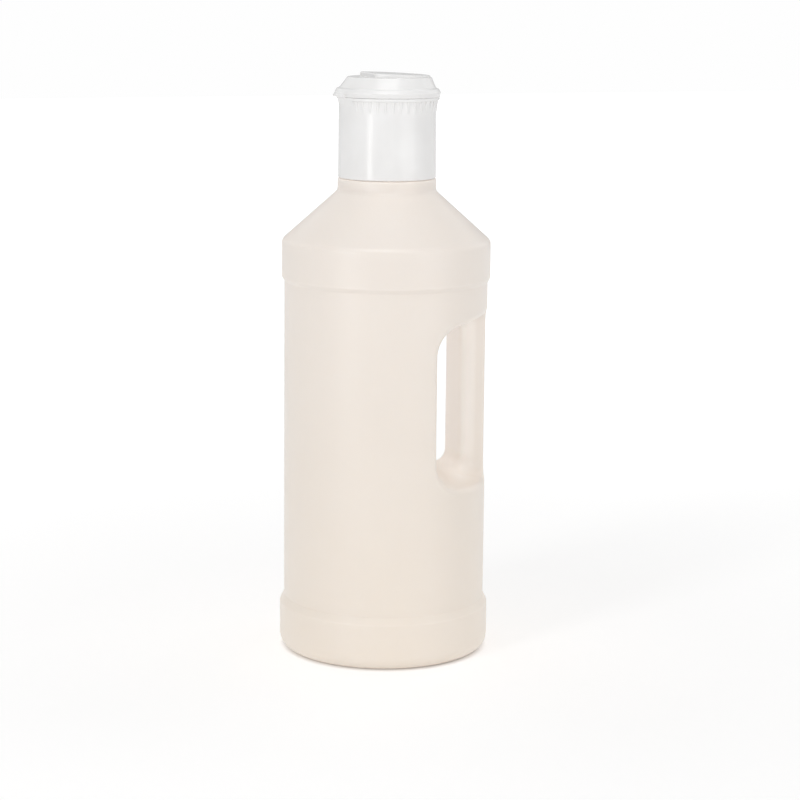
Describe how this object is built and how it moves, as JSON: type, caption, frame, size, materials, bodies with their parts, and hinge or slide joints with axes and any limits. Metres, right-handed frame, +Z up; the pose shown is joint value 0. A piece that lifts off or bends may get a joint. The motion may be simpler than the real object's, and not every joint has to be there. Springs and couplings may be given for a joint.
{
  "type": "dosing bottle",
  "caption": "Blow-moulded bottle with a hollow side grip and a screw-on dosing head: a chamber with inner tubes under a flip lid.",
  "frame": {"origin": "middle of the base, at the level of the ring it stands on", "axes": "+Z up along the axis of bottle and head, +X towards the grip and the lid's hinge, the lid's thumb tab at -X"},
  "size_m": [0.0894, 0.0894, 0.2452],
  "materials": {
    "natural_hdpe": "satin, natural uncoloured",
    "white_pp": "glossy white",
    "insert_plastic": "satin natural",
    "tube_plastic": "translucent natural",
    "foam_seal": "soft foamed"
  },
  "bodies": {
    "bottle": {"bottle_body": "natural_hdpe"},
    "insert": {"neck_seal": "foam_seal", "chamber_insert": "insert_plastic", "riser_tube": "tube_plastic"},
    "level_tube": {"level_tube": "tube_plastic"},
    "collar": {"dosing_collar": "white_pp"},
    "lid": {"flip_lid": "white_pp"}
  },
  "joints": [
    {"name": "cap_lift", "type": "slide", "parent": "bottle", "child": "insert", "axis": [0, 0, 1], "range_m": [0, 0.00501]},
    {"name": "collar_turn", "type": "hinge", "parent": "insert", "child": "collar", "pos_m": [0, 0, 0.21], "axis": [0, 0, 1], "range_deg": [0, 450]},
    {"name": "lid_flip", "type": "hinge", "parent": "collar", "child": "lid", "pos_m": [0.0217, 0, 0.23532], "axis": [0, 1, 0], "range_deg": [0, 125]},
    {"name": "level_set", "type": "slide", "parent": "insert", "child": "level_tube", "axis": [0, 0, 1], "range_m": [0, 0.009]}
  ],
  "couplings": [
    {"joint": "cap_lift", "follows": "collar_turn", "m_per_rad": 0.00063662}
  ]
}
